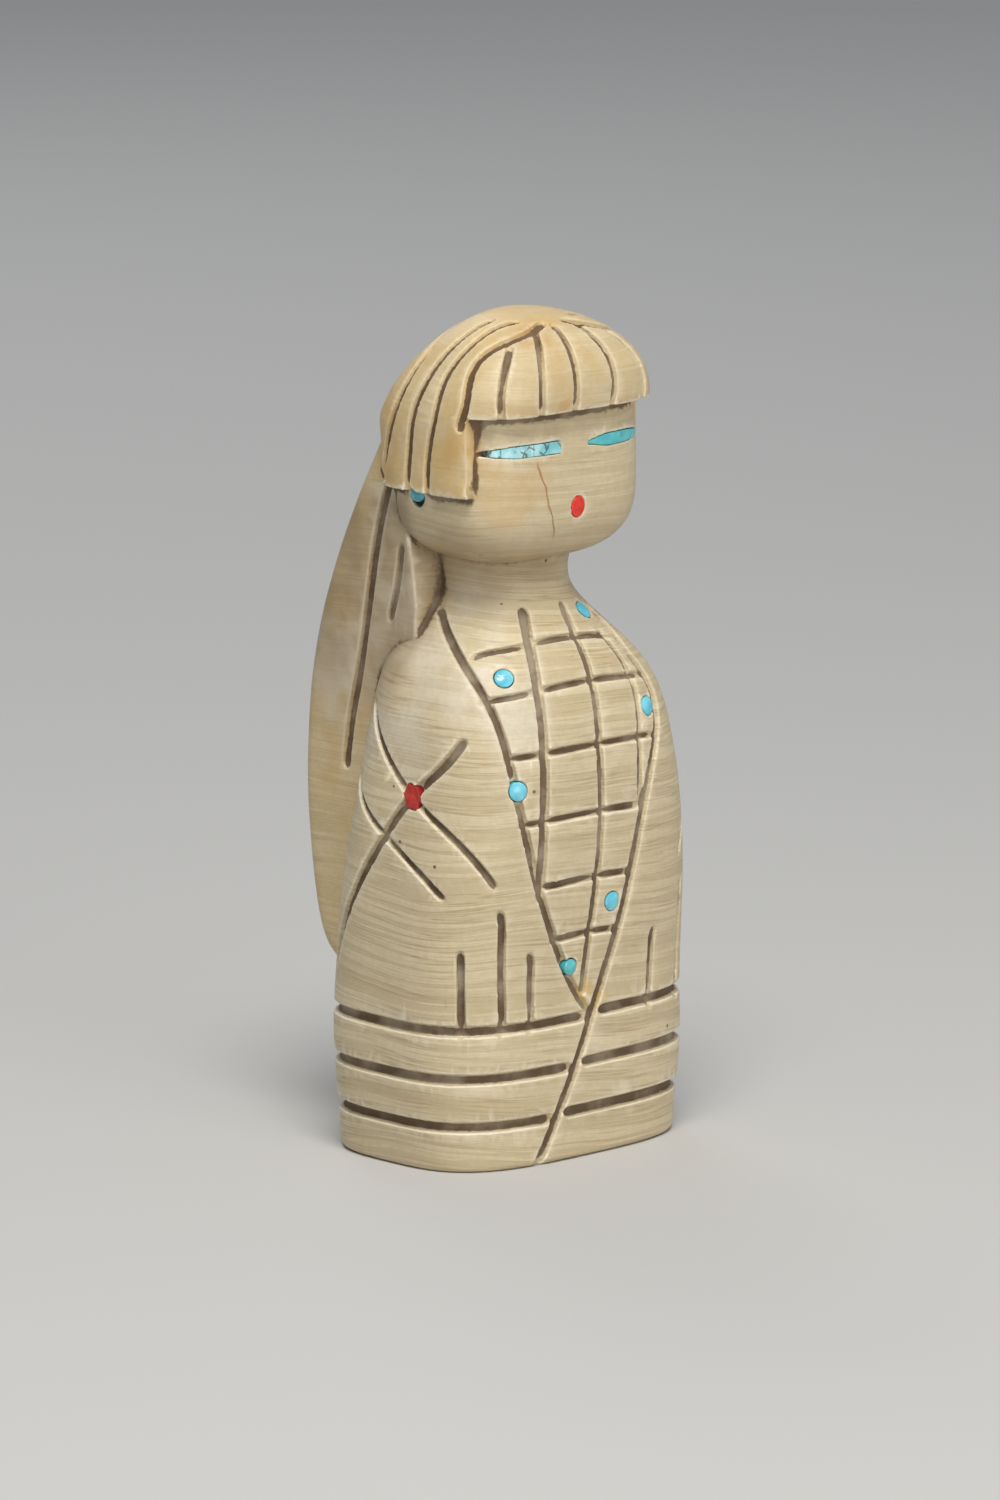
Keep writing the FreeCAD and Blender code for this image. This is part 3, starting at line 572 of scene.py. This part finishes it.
def turquoise(name, look):
    material, tree, shader, place = newMaterial(name)
    cloud = grain(tree, place, 520, 3.0)
    face = tint(tree, rise(tree, cloud, 0.34, 0.66), look["deep"], look["light"])
    flecks = rise(tree, grain(tree, place, 1500, 2.0), 0.58, 0.7, 0.0, look["milky"])
    face = tint(tree, flecks, face, colour(214, 236, 236))
    cells = addNode(tree, "ShaderNodeTexVoronoi", feature="DISTANCE_TO_EDGE",
                    Scale=look["veinScale"])
    bent = addNode(tree, "ShaderNodeVectorMath", operation="MULTIPLY_ADD")
    feed(tree, bent.inputs[0], grain(tree, place, 900, 2.0, output=1))
    bent.inputs[1].default_value = (0.7 * mm,) * 3
    feed(tree, bent.inputs[2], place)
    feed(tree, cells.inputs["Vector"], bent.outputs[0])
    veins = maths(tree, "MULTIPLY", rise(tree, cells.outputs["Distance"], 0.05, 0.015),
                  rise(tree, grain(tree, place, 700, 1.0), 0.46, 0.56))
    face = tint(tree, maths(tree, "MULTIPLY", veins, look["veins"]), face, look["matrix"])
    feed(tree, shader.inputs["Base Color"], face)
    feed(tree, shader.inputs["Roughness"], maths(tree, "MULTIPLY_ADD", veins, 0.3, look["rough"]))
    shader.inputs["IOR"].default_value = 1.6
    bumped(tree, shader, [
        (grain(tree, place, 1300, 3.0), 0.012 * mm),
        (maths(tree, "SUBTRACT", 1.0, veins), 0.02 * mm),
    ])
    return material


def coral(name, look):
    material, tree, shader, place = newMaterial(name)
    cloud = grain(tree, place, 650, 3.0)
    face = tint(tree, rise(tree, cloud, 0.34, 0.68), look["deep"], look["light"])
    specks = rise(tree, grain(tree, place, 2600, 2.0), 0.62, 0.7, 0.0, 0.6)
    face = tint(tree, specks, face, look["speck"])
    feed(tree, shader.inputs["Base Color"], face)
    feed(tree, shader.inputs["Roughness"], maths(tree, "MULTIPLY_ADD", specks, 0.3, look["rough"]))
    shader.inputs["IOR"].default_value = 1.55
    bumped(tree, shader, [(grain(tree, place, 1500, 3.0), 0.018 * mm)])
    return material


skyTurquoise = turquoise("skyTurquoise", {
    "light": colour(128, 214, 232), "deep": colour(92, 190, 212), "milky": 0.25,
    "matrix": colour(70, 80, 70), "veins": 0.25, "veinScale": 500.0, "rough": 0.2,
})
palestTurquoise = turquoise("palestTurquoise", {
    "light": colour(186, 232, 234), "deep": colour(128, 204, 212), "milky": 0.7,
    "matrix": colour(62, 72, 66), "veins": 0.8, "veinScale": 480.0, "rough": 0.24,
})
greenTurquoise = turquoise("greenTurquoise", {
    "light": colour(104, 204, 208), "deep": colour(78, 182, 190), "milky": 0.2,
    "matrix": colour(60, 90, 84), "veins": 0.2, "veinScale": 420.0, "rough": 0.22,
})
deepTurquoise = turquoise("deepTurquoise", {
    "light": colour(86, 190, 208), "deep": colour(30, 112, 134), "milky": 0.2,
    "matrix": colour(30, 50, 56), "veins": 0.5, "veinScale": 600.0, "rough": 0.18,
})
redCoral = coral("redCoral", {
    "light": colour(232, 56, 38), "deep": colour(204, 34, 26), "speck": colour(240, 92, 66),
    "rough": 0.26,
})
darkCoral = coral("darkCoral", {
    "light": colour(206, 62, 48), "deep": colour(160, 34, 30), "speck": colour(92, 30, 26),
    "rough": 0.36,
})

inlay = {
    "voxel": 0.05 * mm,
    "softRounds": 3,
    "shrink": 0.05 * mm,  # shows the dark ring of the seat round a dot
    "earHeight": 0.74,  # the lower part of its seat is empty
    "worn": 0.016 * mm,
    "wornPitch": 0.6 * mm,
}


def setInlay(nodeName, pieceName, material, seed):
    piece = weldedCopy(nodeName, pieceName)
    remeshed(piece, inlay["voxel"])
    mesh = piece.data
    pairs = pairsOf(mesh)
    points = softened(averaged(pointsOf(mesh), pairs, 1, 0.4), pairs, inlay["softRounds"])
    points -= normalsOf(mesh) * (inlay["shrink"] if "Dot" in pieceName else 0.0)
    if "Ear" in pieceName:
        top = points[:, 2].max()
        points[:, 2] = top + (points[:, 2] - top) * inlay["earHeight"]
    putPoints(mesh, points)
    wear = noiseAt(points, inlay["wornPitch"], seed) * inlay["worn"]
    putPoints(mesh, points + normalsOf(mesh) * wear[:, None])
    smoothShaded(mesh)
    mesh.materials.append(material)
    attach(piece, "root")
    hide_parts(nodeName)
    return piece


inlays = [
    ("right_eye_slip_outer", "rightEyeOuterSlip", palestTurquoise, "turquoise"),
    ("right_eye_slip_middle", "rightEyeMiddleSlip", palestTurquoise, "turquoise"),
    ("right_eye_slip_inner", "rightEyeInnerSlip", palestTurquoise, "turquoise"),
    ("left_eye_slip", "leftEyeSlip", greenTurquoise, "turquoise"),
    ("right_ear_drop", "rightEarDrop", deepTurquoise, "turquoise"),
    ("left_ear_drop", "leftEarDrop", deepTurquoise, "turquoise"),
    ("chest_dot_right_shoulder", "rightShoulderDot", skyTurquoise, "turquoise"),
    ("chest_dot_left_shoulder", "leftShoulderDot", skyTurquoise, "turquoise"),
    ("chest_dot_left_breast", "leftBreastDot", skyTurquoise, "turquoise"),
    ("chest_dot_right_side", "rightSideDot", skyTurquoise, "turquoise"),
    ("chest_dot_left_waist", "leftWaistDot", skyTurquoise, "turquoise"),
    ("chest_dot_lapel_tip", "lapelTipDot", greenTurquoise, "turquoise"),
    ("coral_mouth", "mouthOval", redCoral, "coral"),
    ("right_sleeve_chip", "rightSleeveChip", darkCoral, "coral"),
    ("left_sleeve_chip", "leftSleeveChip", darkCoral, "coral"),
]
for seed, (nodeName, pieceName, material, slotName) in enumerate(inlays, start=5):
    setInlay(nodeName, pieceName, material, seed)
print("inlays set:", len(inlays))


# floor and light

studio = {
    "floorSize": 3.0,
    "floor": colour(198, 196, 192),
    "floorSpeck": colour(196, 193, 188),
    "sky": (0.80, 0.86, 0.95, 1),
    "skyStrength": 0.32,
}


def layFloor(spec):
    mesh = bpy.data.meshes.new("studioFloor")
    half = spec["floorSize"] / 2
    corners = ((-half, -half), (half, -half), (half, half), (-half, half))
    mesh.from_pydata([(x, y, cadLow.z) for x, y in corners], [], [(0, 1, 2, 3)])
    floor = bpy.data.objects.new("studioFloor", mesh)
    bpy.context.scene.collection.objects.link(floor)
    material, tree, shader, place = newMaterial("palePaper")
    speck = rise(tree, grain(tree, place, 60, 3.0), 0.3, 0.7, 0.0, 0.06)
    face = tint(tree, speck, spec["floor"], spec["floorSpeck"])
    feed(tree, shader.inputs["Base Color"], face)
    shader.inputs["Roughness"].default_value = 0.9
    shader.inputs["Specular IOR Level"].default_value = 0.2
    mesh.materials.append(material)


def softLight(name, place, size, power, warmth):
    lamp = bpy.data.lights.new(name, "AREA")
    lamp.shape = "DISK"
    lamp.size = size
    lamp.energy = power
    lamp.color = warmth
    holder = bpy.data.objects.new(name, lamp)
    bpy.context.scene.collection.objects.link(holder)
    holder.location = place
    aim = Vector((0, 0, tall * 0.55)) - Vector(place)
    holder.rotation_mode = "QUATERNION"
    holder.rotation_quaternion = aim.to_track_quat("-Z", "Y")


lights = [  # name, place in metres, size, power in watts, colour
    ("overheadBox", (-0.24, -0.27, 0.72), 0.40, 4.9, (1.0, 0.985, 0.96)),
    ("frontFill", (-0.12, -0.85, 0.16), 0.5, 2.3, (1.0, 0.97, 0.93)),
    ("backRim", (0.3, 0.6, 0.5), 0.4, 0.9, (0.95, 0.97, 1.0)),
]

layFloor(studio)
for light in lights:
    softLight(*light)
world = bpy.data.worlds.new("studioSky")
world.use_nodes = True
sky = next(n for n in world.node_tree.nodes if n.type == "BACKGROUND")
sky.inputs[0].default_value = studio["sky"]
sky.inputs[1].default_value = studio["skyStrength"]
bpy.context.scene.world = world
bpy.context.scene.view_settings.view_transform = "Standard"
print("studio lit")
